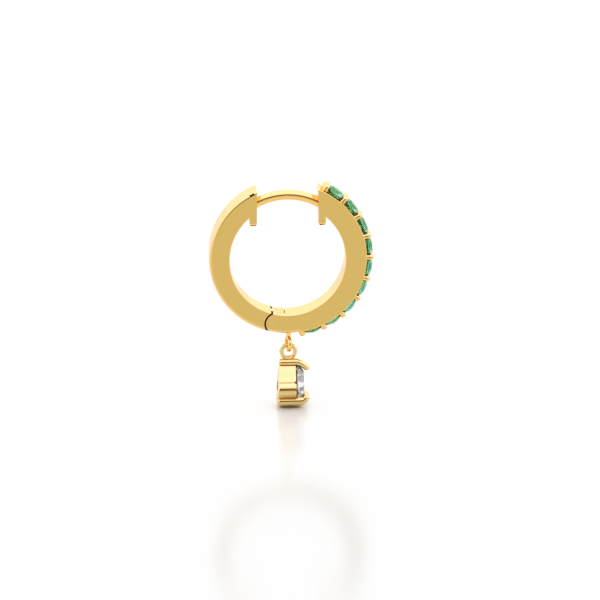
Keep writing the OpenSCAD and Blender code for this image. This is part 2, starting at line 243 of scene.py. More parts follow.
def apply_modifier(obj, kind, **settings):
    make_active(obj)
    bpy.ops.object.modifier_add(type=kind)
    mod = obj.modifiers[-1]
    for key, value in settings.items():
        setattr(mod, key, value)
    bpy.ops.object.modifier_apply(modifier=mod.name)


def boolean(obj, tool, how="DIFFERENCE", keep_tool=False):
    apply_modifier(obj, "BOOLEAN", operation=how, object=tool, solver="MANIFOLD")
    if not keep_tool:
        bpy.data.objects.remove(tool)
    return obj


def joined(objects):
    deselect()
    for obj in objects:
        obj.select_set(True)
    bpy.context.view_layer.objects.active = objects[0]
    bpy.ops.object.join()
    return objects[0]


def duplicate(obj):
    make_active(obj)
    bpy.ops.object.duplicate(linked=False)
    return added()


def apply_place(obj):
    make_active(obj)
    bpy.ops.object.transform_apply(location=True, rotation=True, scale=True)
    return obj


def face_out(obj):
    begin_edit(obj)
    bpy.ops.mesh.select_all(action="SELECT")
    bpy.ops.mesh.normals_make_consistent(inside=False)
    end_edit()
    return obj


def block(low, high):
    """Box given by its lowest and highest corners."""
    middle = [(a + b) / 2 for a, b in zip(low, high)]
    size = [b - a for a, b in zip(low, high)]
    bpy.ops.mesh.primitive_cube_add(size=1, location=middle, scale=size)
    return apply_place(added())


def bar_across(x, z, r, w, steps):
    """Round bar along Y, centred on the hoop's middle plane."""
    bpy.ops.mesh.primitive_cylinder_add(
        vertices=steps, radius=r, depth=w, location=(x, 0, z), rotation=(math.pi / 2, 0, 0)
    )
    return apply_place(added())


def pin_hole():
    return bar_across(PIN_X, PIN_Z, PIN_D / 2 + PIN_GAP, HOOP_W + 2, 96)


def turn_out(obj, x, angle):
    """Turns a piece that was made along +X of the outline's middle to its angle about place x."""
    obj.matrix_world = (
        Matrix.Translation((x, 0, HOOP_Z + OUTER_Z))
        @ Matrix.Rotation(-math.radians(angle), 4, "Y")
        @ obj.matrix_world
    )
    return apply_place(obj)


def soften(obj, width, sharpest=40.0):
    """Breaks the sharp edges with a small round, as tumbling does."""
    begin_edit(obj)
    bpy.ops.mesh.select_all(action="SELECT")
    bpy.ops.mesh.remove_doubles(threshold=0.002)
    bpy.ops.mesh.dissolve_limited(angle_limit=math.radians(0.3))
    end_edit()
    apply_modifier(
        obj, "BEVEL", width=width, segments=3, limit_method="ANGLE",
        angle_limit=math.radians(sharpest), use_clamp_overlap=True,
    )
    return obj


def coat_faces(obj, material, test):
    """Gives the faces whose middle passes the test a second material."""
    obj.data.materials.clear()
    obj.data.materials.append(material)
    obj.data.materials.append(material)
    begin_edit(obj)
    pick(obj, "FACE", test)
    obj.active_material_index = 1
    bpy.ops.object.material_slot_assign()
    end_edit()
    return obj


def mark_borders(obj, test):
    """Marks sharp the borders of the faces that pass the test, so that a flat face stays flat."""
    begin_edit(obj)
    bpy.ops.mesh.select_mode(type="FACE")
    bpy.ops.mesh.select_all(action="DESELECT")
    mesh = bmesh.from_edit_mesh(obj.data)
    for f in mesh.faces:
        f.select_set(test(f))
    bmesh.update_edit_mesh(obj.data)
    if any(f.select for f in mesh.faces):
        bpy.ops.mesh.region_to_loop()
        bpy.ops.mesh.mark_sharp()
    end_edit()


def finish_piece(obj, name, body, material, slot, replaces=(), smooth=30.0):
    """Shades a finished piece, turns it to metres and sets it on its body."""
    obj.name = name
    obj.data.name = name
    make_active(obj)
    bpy.ops.object.shade_smooth_by_angle(angle=math.radians(smooth))
    mark_borders(obj, lambda f: abs(f.normal.y) > 0.9999)
    if slot == "gold" and name.endswith("_band"):
        mark_borders(obj, lambda f: abs(f.normal.y) < 0.0005)
    obj.scale = (MM, MM, MM)
    apply_place(obj)
    if len(obj.data.materials) == 0:
        obj.data.materials.append(material)
    obj.data.materials[0] = material
    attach(obj, body)
    if replaces:
        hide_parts(*replaces)
    return obj


# Materials

def srgb(hex_colour):
    """Linear colour of an sRGB hex value."""
    parts = [int(hex_colour[i:i + 2], 16) / 255 for i in (1, 3, 5)]
    linear = [c / 12.92 if c <= 0.04045 else ((c + 0.055) / 1.055) ** 2.4 for c in parts]
    return (*linear, 1.0)


def new_material(name):
    material = bpy.data.materials.new(name)
    material.use_nodes = True
    material.node_tree.nodes.clear()
    return material


def add_node(material, kind, settings=None, **links):
    """Adds a node, sets its attributes and sockets, and links sockets given as (node, output)."""
    tree = material.node_tree
    node = tree.nodes.new(kind)
    for key, value in (settings or {}).items():
        if hasattr(node, key) and key not in node.inputs:
            setattr(node, key, value)
        else:
            node.inputs[key].default_value = value
    for key, (source, output) in links.items():
        tree.links.new(source.outputs[output], node.inputs[key.replace("_", " ")])
    return node


def polished_gold(name, tint, roughness, scratch_depth):
    """14 karat yellow gold, cast and polished on a felt wheel. The eye sees a clean mirror of the
    studio with a very slightly softened edge, from polishing lines about 0.02 mm apart; they are
    drawn 0.08 mm apart, because finer ones don't show."""
    line_mm = 0.08
    cloud_mm = 1.5
    material = new_material(name)
    place = add_node(material, "ShaderNodeTexCoord")
    grain = add_node(
        material, "ShaderNodeTexNoise", {"Scale": 1 / (line_mm * MM), "Detail": 3.0, "Roughness": 0.6},
        Vector=(place, "Object"),
    )
    cloudy = add_node(
        material, "ShaderNodeTexNoise", {"Scale": 1 / (cloud_mm * MM), "Detail": 2.0},
        Vector=(place, "Object"),
    )
    rough = add_node(
        material, "ShaderNodeMapRange",
        {"From Min": 0.3, "From Max": 0.7, "To Min": roughness * 0.8, "To Max": roughness * 1.25},
        Value=(cloudy, "Fac"),
    )
    bump = add_node(
        material, "ShaderNodeBump", {"Strength": 0.12, "Distance": scratch_depth * MM},
        Height=(grain, "Fac"),
    )
    shader = add_node(
        material, "ShaderNodeBsdfPrincipled",
        {"Base Color": srgb(tint), "Metallic": 1.0, "Specular Tint": srgb("#FFF8E6")},
        Roughness=(rough, "Result"), Normal=(bump, "Normal"),
    )
    add_node(material, "ShaderNodeOutputMaterial", Surface=(shader, "BSDF"))
    return material


def painted_shade_material(name, tint):
    """Near-black brown dull material, mottled 0.05 mm across: painted shade for the narrow
    hinge gap and the fingernail nick."""
    mottle_mm = 0.05
    material = new_material(name)
    place = add_node(material, "ShaderNodeTexCoord")
    dark_mottle = add_node(
        material, "ShaderNodeTexNoise", {"Scale": 1 / (mottle_mm * MM), "Detail": 3.0},
        Vector=(place, "Object"),
    )
    tone = add_node(material, "ShaderNodeMix", {"data_type": "RGBA"}, Factor=(dark_mottle, "Fac"))
    # Two near-black browns mottled together: painted shade.
    tone.inputs[MIX_A].default_value = srgb(tint)
    tone.inputs[MIX_B].default_value = srgb("#3A2A12")
    shader = add_node(
        material, "ShaderNodeBsdfPrincipled", {"Roughness": 0.8}, Base_Color=(tone, MIX_OUT)
    )
    add_node(material, "ShaderNodeOutputMaterial", Surface=(shader, "BSDF"))
    return material


def cut_stone(name, tint, ior, roughness, clear):
    """Clear faceted stone, lapped flat. The eye sees sharp flashes on its facets, and light that
    passes through, bends and comes back out with the stone's colour."""
    cloud_mm = 0.4
    material = new_material(name)
    place = add_node(material, "ShaderNodeTexCoord")
    garden = add_node(
        material, "ShaderNodeTexNoise", {"Scale": 1 / (cloud_mm * MM), "Detail": 4.0},
        Vector=(place, "Object"),
    )
    lapping = add_node(
        material, "ShaderNodeMapRange",
        {"From Min": 0.35, "From Max": 0.65, "To Min": roughness * 0.5, "To Max": roughness * 1.5},
        Value=(garden, "Fac"),
    )
    shader = add_node(
        material, "ShaderNodeBsdfPrincipled",
        {"Base Color": srgb(tint), "Transmission Weight": clear, "IOR": ior},
        Roughness=(lapping, "Result"),
    )
    add_node(material, "ShaderNodeOutputMaterial", Surface=(shader, "BSDF"))
    return material


# Hoop

def band():
    """The whole closed band: a ring of flat sides with rounded outer and bore edges."""
    row_top = 95
    overlap = 1.5
    bpy.ops.mesh.primitive_circle_add(
        vertices=ROUND_STEPS, radius=1, fill_type="NOTHING",
        location=(OUTER_X, -HOOP_W / 2, HOOP_Z + OUTER_Z), rotation=(math.pi / 2, 0, 0),
    )
    ring = added()
    ring.scale = (OVAL_W, OVAL_H, 1)
    apply_place(ring)
    begin_edit(ring)
    bpy.ops.mesh.select_all(action="SELECT")
    bpy.ops.mesh.extrude_edges_move(
        TRANSFORM_OT_translate={"value": (-OUTER_X, 0, -OUTER_Z)}
    )
    bpy.ops.transform.resize(
        value=(BORE_R / OVAL_W, 1, BORE_R / OVAL_H), center_override=(0, -HOOP_W / 2, HOOP_Z)
    )
    bpy.ops.mesh.select_all(action="SELECT")
    bpy.ops.mesh.extrude_region_move(TRANSFORM_OT_translate={"value": (0, HOOP_W, 0)})
    bpy.ops.mesh.select_all(action="SELECT")
    bpy.ops.mesh.normals_make_consistent(inside=False)

    def on_outer(p):
        return math.hypot((p.x - OUTER_X) / OVAL_W, (p.z - HOOP_Z - OUTER_Z) / OVAL_H) > 0.99

    def on_bore(p):
        return math.hypot(p.x, p.z - HOOP_Z) < BORE_R + 0.02

    def on_side(p):
        return abs(abs(p.y) - HOOP_W / 2) < 0.001

    def angle(p):
        return math.degrees(math.atan2(p.z - HOOP_Z - OUTER_Z, p.x - OUTER_X))

    def in_row(p):
        return on_outer(p) and -ROW_END < angle(p) < row_top

    def past_row(p):
        return on_outer(p) and not -ROW_END + overlap < angle(p) < row_top - overlap

    for test, width, steps in (
        (past_row, EDGE_R, 8), (in_row, ROW_EDGE_R, 4), (on_bore, BORE_EDGE, 3),
    ):
        bpy.ops.mesh.select_mode(type="EDGE")
        bpy.ops.mesh.select_all(action="DESELECT")
        mesh = bmesh.from_edit_mesh(ring.data)
        for e in mesh.edges:
            a, b = (v.co for v in e.verts)
            e.select_set(on_side(a) and on_side(b) and a.y * b.y > 0 and test(a) and test(b))
        bmesh.update_edit_mesh(ring.data)
        bpy.ops.mesh.bevel(offset=width, segments=steps, affect="EDGES", clamp_overlap=False)
    end_edit()
    return ring


def end_plate(side):
    """Plate at a half's end, whose tab reaches inwards and has round lower edges."""
    y = HOOP_W / 2
    tab_z = HOOP_Z + math.sqrt(BORE_R ** 2 - (END_X + PLATE_T) ** 2) - PLATE_TAB
    low_x = END_X if side > 0 else -END_X - PLATE_T
    plate = block(
        (low_x + PLATE_SLIP, -y + PLATE_SLIP, tab_z),
        (low_x + PLATE_T - PLATE_SLIP, y - PLATE_SLIP, PLATE_TOP),
    )
    begin_edit(plate)
    pick(plate, "EDGE", lambda p: abs(p.z - (tab_z + PLATE_TOP) / 2) < 0.001)
    bpy.ops.mesh.bevel(offset=PLATE_SIDE_R, segments=4, affect="EDGES")
    pick_edges(plate, lambda p: p.z < tab_z + 0.001)
    bpy.ops.mesh.bevel(offset=PLATE_LOW_R, segments=8, affect="EDGES")
    end_edit()
    return plate


def seats():
    """Nine cutters for the stones' seats: pavilion cone, girdle and crown, open outwards."""
    table = TABLE_SHARE * STONE_R + SEAT_GAP
    outline = [
        (-PAVILION_H - 2 * SEAT_GAP, 0.0),
        (-SEAT_GAP / 2, STONE_R + SEAT_GAP),
        (GIRDLE_T + SEAT_GAP, STONE_R + SEAT_GAP),
        (CROWN_H + SEAT_GAP, table),
        (CROWN_H + 1.0, table),
    ]
    bpy.ops.mesh.primitive_circle_add(
        vertices=64, radius=outline[1][1], fill_type="NOTHING",
        location=(GIRDLE_R + outline[1][0], 0, 0), rotation=(0, math.pi / 2, 0),
    )
    tool = apply_place(added())
    begin_edit(tool)
    bpy.ops.mesh.select_all(action="SELECT")
    for (x0, r0), (x1, r1) in zip(outline[1:], outline[2:]):
        bpy.ops.mesh.extrude_edges_move(TRANSFORM_OT_translate={"value": (x1 - x0, 0, 0)})
        share = r1 / r0
        if abs(share - 1) > 1e-6:
            bpy.ops.transform.resize(value=(1, share, share), center_override=(GIRDLE_R + x1, 0, 0))
    bpy.ops.mesh.edge_face_add()
    pick(tool, "VERT", lambda p: abs(p.x - GIRDLE_R - outline[1][0]) < 1e-4)
    bpy.ops.mesh.extrude_edges_move(
        TRANSFORM_OT_translate={"value": (outline[0][0] - outline[1][0], 0, 0)}
    )
    bpy.ops.mesh.merge(type="CENTER")
    end_edit()
    face_out(tool)
    copies = [duplicate(tool) for _ in range(STONES - 1)] + [tool]
    for i, copy in enumerate(copies):
        turn_out(copy, ROW_X, ROW_START - (i + 0.5) * ROW_STEP)
    return joined(copies)


def front_band(seat_tool):
    half = band()
    boolean(half, block((-FAR, -FAR, HOOP_Z - END_CUT_DROP), (END_X, FAR, FAR)))
    other_side = block((-FAR, -FAR, -FAR * 2), (PIN_X, FAR, HOOP_Z))
    boolean(other_side, bar_across(PIN_X, PIN_Z, SEAM_R - SEAM_GAP, 3 * FAR, 256))
    boolean(half, other_side)
    slot_w = TONGUE_W + 2 * HINGE_GAP
    boolean(half, bar_across(PIN_X, PIN_Z, TONGUE_R + HINGE_GAP, slot_w, 256))
    boolean(half, block(
        (PIN_X - HINGE_ROOM, -slot_w / 2, PIN_Z - HINGE_ROOM),
        (PIN_X, slot_w / 2, PIN_Z + HINGE_ROOM),
    ))
    soften(half, SOFT_EDGE)
    boolean(half, end_plate(1), "UNION")
    boolean(half, pin_hole())
    boolean(half, seat_tool, keep_tool=True)
    return half


def back_band():
    half = band()
    boolean(half, block((-END_X, -FAR, HOOP_Z - END_CUT_DROP), (FAR, FAR, FAR)))
    tongue = duplicate(half)
    other_side = block((PIN_X, -FAR, -FAR * 2), (FAR, FAR, HOOP_Z))
    boolean(other_side, bar_across(PIN_X, PIN_Z, SEAM_R, 3 * FAR, 256), "UNION")
    boolean(half, other_side)
    shape = block(
        (PIN_X - 2 * SEAM_R, -TONGUE_W / 2, PIN_Z - HINGE_ROOM),
        (PIN_X, TONGUE_W / 2, PIN_Z + HINGE_ROOM),
    )
    boolean(shape, bar_across(PIN_X, PIN_Z, TONGUE_R, TONGUE_W, 256), "UNION")
    boolean(tongue, shape, "INTERSECT")
    boolean(half, tongue, "UNION")
    soften(half, SOFT_EDGE)
    boolean(half, end_plate(-1), "UNION")
    boolean(half, catch_tool())
    boolean(half, pin_hole())
    boolean(half, nick_tool())
    return half


def catch_tool():
    """Slot for the post's free end, with round ends."""
    r = POST_D / 2 + CATCH_GAP
    depth = CATCH_DEPTH + 2 * CATCH_GAP
    tip_x = END_X + CATCH_DEPTH
    slope = math.asin(tip_x / POST_R)
    room = POST_D / 2 * (1 / math.cos(slope) - 1)
    past = 1
    high = HOOP_Z + math.sqrt(POST_R ** 2 - END_X ** 2) + room
    low = HOOP_Z + math.sqrt(POST_R ** 2 - tip_x ** 2) - room
    bpy.ops.mesh.primitive_cylinder_add(
        vertices=64, radius=r, depth=depth + past, rotation=(0, math.pi / 2, 0),
        location=(-END_X - depth / 2 + past / 2, 0, low),
    )
    tool = apply_place(added())
    begin_edit(tool)
    pick(tool, "VERT", lambda p: p.z > low + 0.01)
    bpy.ops.transform.translate(value=(0, 0, high - low))
    end_edit()
    return tool


def nick_tool():
    """Small fingernail nick in the near outer edge of the plain half."""
    bpy.ops.mesh.primitive_cylinder_add(
        vertices=32, radius=NICK_CUT_R, depth=NICK_CUT_L,
        location=(NICK_R, -HOOP_W / 2 + NICK_IN, 0),
    )
    return turn_out(apply_place(added()), OUTER_X, NICK_ANGLE)


def prongs(seat_tool):
    """Two prongs side by side between two stones, with domed tips, copied along the row."""
    head = PRONG_TIP - PRONG_R
    foot = OUTER_R - PRONG_FOOT
    pair = []
    for y in (-PRONG_Y, PRONG_Y):
        bpy.ops.mesh.primitive_uv_sphere_add(
            segments=32, ring_count=16, radius=PRONG_R, location=(head, y, 0),
            rotation=(0, math.pi / 2, 0),
        )
        prong = apply_place(added())
        begin_edit(prong)
        bpy.ops.mesh.select_all(action="SELECT")
        bpy.ops.mesh.bisect(
            plane_co=(head, y, 0), plane_no=(1, 0, 0), clear_inner=True, clear_outer=False,
            use_fill=False, threshold=1e-5,
        )
        pick(prong, "VERT", lambda p: p.x < head + 1e-4)
        bpy.ops.mesh.extrude_edges_move(TRANSFORM_OT_translate={"value": (foot - head, 0, 0)})
        bpy.ops.mesh.edge_face_add()
        end_edit()
        pair.append(face_out(prong))
    first = joined(pair)
    copies = [duplicate(first) for _ in range(STONES)] + [first]
    for i, copy in enumerate(copies):
        turn_out(copy, ROW_X, ROW_START - i * ROW_STEP)
    row = joined(copies)
    boolean(row, seat_tool)
    return row


def ear_post():
    """Curved wire from the front plate to its free end in the catch."""
    root_share = 0.3
    root = 90 - math.degrees(math.asin((END_X + root_share * PLATE_T) / POST_R))
    tip = 90 + math.degrees(math.asin((END_X + CATCH_DEPTH) / POST_R))
    a = math.radians(root)
    bpy.ops.mesh.primitive_circle_add(
        vertices=64, radius=POST_D / 2, fill_type="NOTHING",
        location=(POST_R * math.cos(a), 0, HOOP_Z + POST_R * math.sin(a)), rotation=(0, -a, 0),
    )
    wire = apply_place(added())
    begin_edit(wire)
    bpy.ops.mesh.select_all(action="SELECT")
    bpy.ops.mesh.spin(
        steps=96, angle=math.radians(tip - root), center=(0, 0, HOOP_Z), axis=(0, 1, 0)
    )
    bpy.ops.mesh.select_all(action="SELECT")
    bpy.ops.mesh.remove_doubles(threshold=1e-5)
    bpy.ops.mesh.fill_holes(sides=0)
    end_edit()
    return face_out(wire)


def torus(x, z, major, minor, rotation):
    bpy.ops.mesh.primitive_torus_add(
        major_radius=major, minor_radius=minor, major_segments=128, minor_segments=40,
        location=(x, 0, z), rotation=rotation,
    )
    return apply_place(added())


def charm_loop():
    """Closed loop across the hoop on a flared solder foot."""
    turned = (0, math.pi / 2, math.radians(LOOP_ANGLE))
    loop = torus(LOOP_X, LOOP_Z, LOOP_MID, LOOP_WIRE / 2, turned)
    into_hoop = 0.08
    into_loop = 0.12
    slim = 0.17
    widening = 0.07
    flare = 0.14
    flare_power = 6
    top = FOOT_Z + into_hoop
    low = FOOT_Z - FOOT_H - into_loop
    steps = 10
    bpy.ops.mesh.primitive_circle_add(
        vertices=48, radius=slim, fill_type="NGON", location=(LOOP_X, 0, low)
    )
    foot = apply_place(added())
    begin_edit(foot)
    bpy.ops.mesh.select_all(action="SELECT")
    radius = slim
    for k in range(1, steps + 1):
        t = k / steps
        wide = slim + widening * t + flare * t ** flare_power
        bpy.ops.mesh.extrude_region_move(
            TRANSFORM_OT_translate={"value": (0, 0, (top - low) / steps)}
        )
        share = wide / radius
        bpy.ops.transform.resize(
            value=(share, share, 1), center_override=(LOOP_X, 0, low + (top - low) * t)
        )
        radius = wide
    end_edit()
    face_out(foot)
    return boolean(loop, foot, "UNION")


def hinge_pin():
    """Pin cut to the hoop's width, its two ends broken and polished flush."""
    pin = bar_across(PIN_X, PIN_Z, PIN_D / 2, HOOP_W - PIN_SHORT, 96)
    begin_edit(pin)
    for side in (-1, 1):
        pick_edges(pin, lambda p: p.y * side > HOOP_W / 2 - 0.02)
        bpy.ops.mesh.bevel(offset=PIN_EDGE, segments=2, affect="EDGES")
    end_edit()
    return pin


def seam_painted_shade():
    """Dark strip in the gap between knuckle and plain half, on both sides of the tongue: painted shade."""
    reach = 9
    from_back = 0.006
    from_knuckle = 0.004
    under_sides = 0.05
    past_pin = 0.02
    under_bore = 0.03
    under_outline = 0.04
    outline_r = OVAL_H - under_outline
    ring = bar_across(PIN_X, PIN_Z, SEAM_R - from_back, HOOP_W - under_sides, 256)
    boolean(ring, bar_across(PIN_X, PIN_Z, SEAM_R - SEAM_GAP + from_knuckle, HOOP_W, 256))
    half = TONGUE_W / 2 + HINGE_GAP
    boolean(ring, block((-reach, -half, -FAR), (reach, half, 0)))
    boolean(ring, block((PIN_X - past_pin, -reach, -FAR), (reach, reach, 0)))
    boolean(ring, bar_across(0, HOOP_Z, BORE_R + under_bore, reach, 256))
    boolean(ring, bar_across(OUTER_X, HOOP_Z + OUTER_Z, outline_r, reach, 256), "INTERSECT")
    return ring


def in_nick(p):
    """Whether a place lies on the round wall of the fingernail nick."""
    a = math.radians(NICK_ANGLE)
    out = (p.x - OUTER_X) * math.cos(a) + (p.z - HOOP_Z - OUTER_Z) * math.sin(a)
    along = -(p.x - OUTER_X) * math.sin(a) + (p.z - HOOP_Z - OUTER_Z) * math.cos(a)
    from_axis = math.hypot(out - NICK_R, p.y + HOOP_W / 2 - NICK_IN)
    return abs(along) < NICK_CUT_L / 2 + 0.01 and from_axis < NICK_CUT_R + 0.005


def build_hoop(gold, shade_material):
    seat_tool = seats()
    front = front_band(seat_tool)
    finish_piece(front, "front_band", "front", gold, "gold", ["front_hoop"])
    # A near-black strip in the hinge gap: painted shade.
    finish_piece(seam_painted_shade(), "seam_painted_shade", "front", shade_material, "gold", smooth=40)
    row = prongs(seat_tool)
    finish_piece(row, "row_prongs", "front", gold, "gold", smooth=40)
    finish_piece(ear_post(), "ear_post", "front", gold, "gold", smooth=40)
    finish_piece(charm_loop(), "charm_loop", "front", gold, "gold", smooth=60)
    finish_piece(hinge_pin(), "hinge_pin_polished", "front", gold, "gold", ["hinge_pin"])
    back = back_band()
    # The nick's round wall is coloured near-black: painted shade in the recess.
    coat_faces(back, shade_material, in_nick)
    finish_piece(back, "back_band", "back", gold, "gold", ["back_hoop"])


# Charm

def curve_points(a, b, c, d, steps):
    """Points of a smooth curve from a to d that leaves a towards b and reaches d from c."""
    points = []
    for k in range(steps + 1):
        t = k / steps
        u = 1 - t
        points.append(a * u ** 3 + b * 3 * u * u * t + c * 3 * u * t * t + d * t ** 3)
    return points


def arc_points(centre, r, start, end, steps):
    angles = [math.radians(start + (end - start) * k / steps) for k in range(steps + 1)]
    return [centre + r * Vector((math.cos(a), math.sin(a))) for a in angles]


def direction(degrees):
    return Vector((math.cos(math.radians(degrees)), math.sin(math.radians(degrees))))


def cup_outline():
    """Outline of the cup seen from its front, as (y, height): slightly curved flanks, a crease,
    and a round lobe on each side that runs out under the stone."""
    crease_at = 60
    low_at = -20
    apart = 2
    lobe_c = Vector((PEAR_W / 2 + LOBE_OUT - LOBE_R, -LOBE_DROP * PEAR_L / 2))
    crease = lobe_c + LOBE_R * direction(crease_at)
    start = Vector((0.21 * PEAR_W / 2, 0.88 * PEAR_L / 2))
    reach = 0.65 * (crease - start).length
    low_point = Vector((0, -PEAR_L / 2 - CUP_DROP))
    lobe_end = lobe_c + LOBE_R * direction(low_at)
    turn = math.degrees(math.atan2(lobe_end.y - low_point.y, lobe_end.x))
    low_r = (low_point - lobe_end).length / 2 / math.sin(math.radians(turn))
    low_c = Vector((0, low_point.y + low_r))
    half = [Vector((0.1 * PEAR_W / 2, TOP_BAR - CLAW_R / 2))]
    half += curve_points(
        start, start + reach * direction(-45), crease - reach * direction(-40), crease, 16
    )
    half += arc_points(lobe_c, LOBE_R, crease_at - apart, low_at, 24)
    half += arc_points(low_c, low_r, -90 + 2 * turn - apart, -90 + 2 * apart, 12)
    half.append(low_point)
    return half + [Vector((-p.x, p.y)) for p in reversed(half[:-1])]


def pear_outline(share):
    """Outline of the pear stone drawn in towards its middle."""
    peak = 4 / (3 * math.sqrt(3))
    middle = Vector((0, -0.28 * PEAR_L / 2))
    points = []
    for k in range(64):
        a = 2 * math.pi * k / 64
        p = Vector((
            -PEAR_W / 2 / peak * math.sin(a) * math.sin(a / 2),
            PEAR_L / 2 * math.cos(a),
        ))
        points.append(middle + share * (p - middle))
    return points


def prism(outline, low_x, high_x):
    """An outline drawn point after point from one vertex, closed, filled and drawn out along X."""
    first = Vector((low_x, outline[0].x, CHARM_Z + outline[0].y))
    last = Vector((low_x, outline[-1].x, CHARM_Z + outline[-1].y))
    bpy.ops.mesh.primitive_plane_add(size=0.001, location=first)
    solid = apply_place(added())
    begin_edit(solid)
    bpy.ops.mesh.select_mode(type="VERT")
    bpy.ops.mesh.select_all(action="SELECT")
    bpy.ops.mesh.merge(type="CENTER")
    for a, b in zip(outline, outline[1:]):
        bpy.ops.mesh.extrude_vertices_move(
            TRANSFORM_OT_translate={"value": (0, b.x - a.x, b.y - a.y)}
        )
    pick(solid, "VERT", lambda p: min((p - first).length, (p - last).length) < 1e-4)
    bpy.ops.mesh.edge_face_add()
    bpy.ops.mesh.select_all(action="SELECT")
    bpy.ops.mesh.edge_face_add()
    bpy.ops.mesh.extrude_region_move(
        TRANSFORM_OT_translate={"value": (high_x - low_x, 0, 0)}
    )
    end_edit()
    return face_out(solid)


def bent_bar(path, radii, steps=48):
    """Round bar along a path in the XZ plane: a disc drawn out, turned and sized at each point."""
    points = [Vector(p) for p in path]
    bpy.ops.mesh.primitive_circle_add(
        vertices=steps, radius=radii[0], fill_type="NGON", location=points[0],
        rotation=(0, math.pi / 2, 0),
    )
    bar = apply_place(added())
    begin_edit(bar)
    bpy.ops.mesh.select_all(action="SELECT")
    slope = 0.0
    for k in range(1, len(points)):
        bpy.ops.mesh.extrude_region_move(
            TRANSFORM_OT_translate={"value": points[k] - points[k - 1]}
        )
        share = radii[k] / radii[k - 1]
        bpy.ops.transform.resize(value=(share,) * 3, center_override=points[k])
        ahead = points[min(k + 1, len(points) - 1)] - points[k - 1]
        climb = math.atan2(ahead.z, ahead.x)
        if abs(climb - slope) > 1e-6:
            bpy.ops.transform.rotate(
                value=climb - slope, orient_axis="Y", orient_type="GLOBAL", center_override=points[k]
            )
        slope = climb
    end_edit()
    return face_out(bar)


def claw(y, z, r, bends, tip_r):
    """Claw bar from the cup's back to its tip, which bends over the stone."""
    bevel = 0.5 * r
    bevel_steps = 5
    straight = 0.7
    bend_steps = 14
    taper = 1.3
    tip_steps = 8
    tip = [Vector((STONE_X + x, y, CHARM_Z + z + dz)) for x, dz in bends]
    back = CUP_X + math.tan(math.radians(BACK_LEAN)) * (z - LOW_BAR)
    path = []
    radii = []
    for k in range(bevel_steps + 1):
        a = math.radians(90 * k / bevel_steps)
        path.append(Vector((back + bevel * (1 - math.cos(a)), y, CHARM_Z + z)))
        radii.append(r - bevel * (1 - math.sin(a)))
    path.append(Vector((back + straight, y, CHARM_Z + z)))
    radii.append(r)
    bend = curve_points(*tip, bend_steps)
    path += bend
    radii += [r + (tip_r - r) * (k / bend_steps) ** taper for k in range(bend_steps + 1)]
    lead = (bend[-1] - bend[-2]).normalized()
    for k in range(1, tip_steps + 1):
        a = math.radians(90 * k / (tip_steps + 0.3))
        path.append(bend[-1] + lead * tip_r * math.sin(a))
        radii.append(tip_r * math.cos(a))
    return bent_bar(path, radii)


def charm_cup():
    """Closed cup with a leaning back, a pocket for the stone, a round window and a side notch."""
    body = prism(cup_outline(), CUP_X - 0.1, RIM_X)
    lean = math.tan(math.radians(BACK_LEAN))
    foot = CHARM_Z + LOW_BAR
    begin_edit(body)
    bpy.ops.mesh.select_all(action="SELECT")
    bpy.ops.mesh.bisect(
        plane_co=(CUP_X, 0, foot), plane_no=(-1, 0, lean), use_fill=True,
        clear_inner=False, clear_outer=True,
    )
    pick_edges(body, lambda p: abs(p.x - CUP_X - lean * (p.z - foot)) < 1e-3)
    bpy.ops.mesh.bevel(offset=BACK_EDGE, segments=4, affect="EDGES", clamp_overlap=True)
    end_edit()
    boolean(body, prism(pear_outline(POCKET_SHARE), STONE_X - POCKET_DEPTH, RIM_X + 1))
    bpy.ops.mesh.primitive_cylinder_add(
        vertices=64, radius=WINDOW_R, depth=2, location=(CUP_X, 0, CHARM_Z - WINDOW_DROP),
        rotation=(0, math.pi / 2, 0),
    )
    boolean(body, apply_place(added()))
    boolean(body, bar_across(RIM_X - NOTCH_IN, CHARM_Z + NOTCH_RISE, NOTCH_R, 6, 48))
    return body


def charm_claws():
    """One claw above and two below. A bend's points are (forwards, upwards) from the girdle."""
    over = 0.86 * PEAR_CROWN
    top_bend = [(-0.1, 0), (0.2, 0.0), (over, -0.5 * CLAW_R), (over + 0.34, -1.45 * CLAW_R)]
    low_bend = [(0.0, 0), (0.3, 0.0), (over + 0.06, 0.02), (over + 0.22, 0.22)]
    top = claw(0, TOP_BAR, CLAW_R, top_bend, TOP_TIP_R)
    low = [claw(y, LOW_BAR, LOW_CLAW_R, low_bend, LOW_TIP_R) for y in (-LOW_CLAW_Y, LOW_CLAW_Y)]
    return top, low


def jump_ring():
    """Closed ring, flared below, where solder joins it to the upper claw."""
    ring = torus(LOOP_X, RING_Z, RING_MID, RING_WIRE / 2, (math.pi / 2, 0, 0))
    begin_edit(ring)
    widening = 1.035
    for depth in (0.34, 0.38, 0.42, 0.46, 0.5):
        pick(ring, "VERT", lambda p: p.z < RING_Z - depth)
        bpy.ops.transform.resize(value=(1, widening, 1), center_override=(LOOP_X, 0, RING_Z))
    end_edit()
    return ring


def charm_setting(gold):
    cup = charm_cup()
    finish_piece(cup, "charm_cup", "charm", gold, "gold", ["charm_setting"], smooth=30)
    top, low = charm_claws()
    boolean(low[0], low[1], "UNION")
    finish_piece(top, "charm_top_claw", "charm", gold, "gold", smooth=40)
    finish_piece(low[0], "charm_low_claws", "charm", gold, "gold", smooth=40)
    finish_piece(jump_ring(), "charm_jump_ring", "charm", gold, "gold", smooth=60)


def dress_stones():
    emerald = cut_stone("emerald_lapped", "#9CD4C0", 1.577, 0.02, 0.9)
    diamond = cut_stone("diamond_lapped", "#FFFFFF", 2.417, 0.0, 0.85)
    stones = {f"emerald_{k + 1}": emerald for k in range(STONES)}
    stones["charm_diamond"] = diamond
    for name, stone in stones.items():
        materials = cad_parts[name].data.materials
        materials.clear()
        materials.append(stone)


# Studio

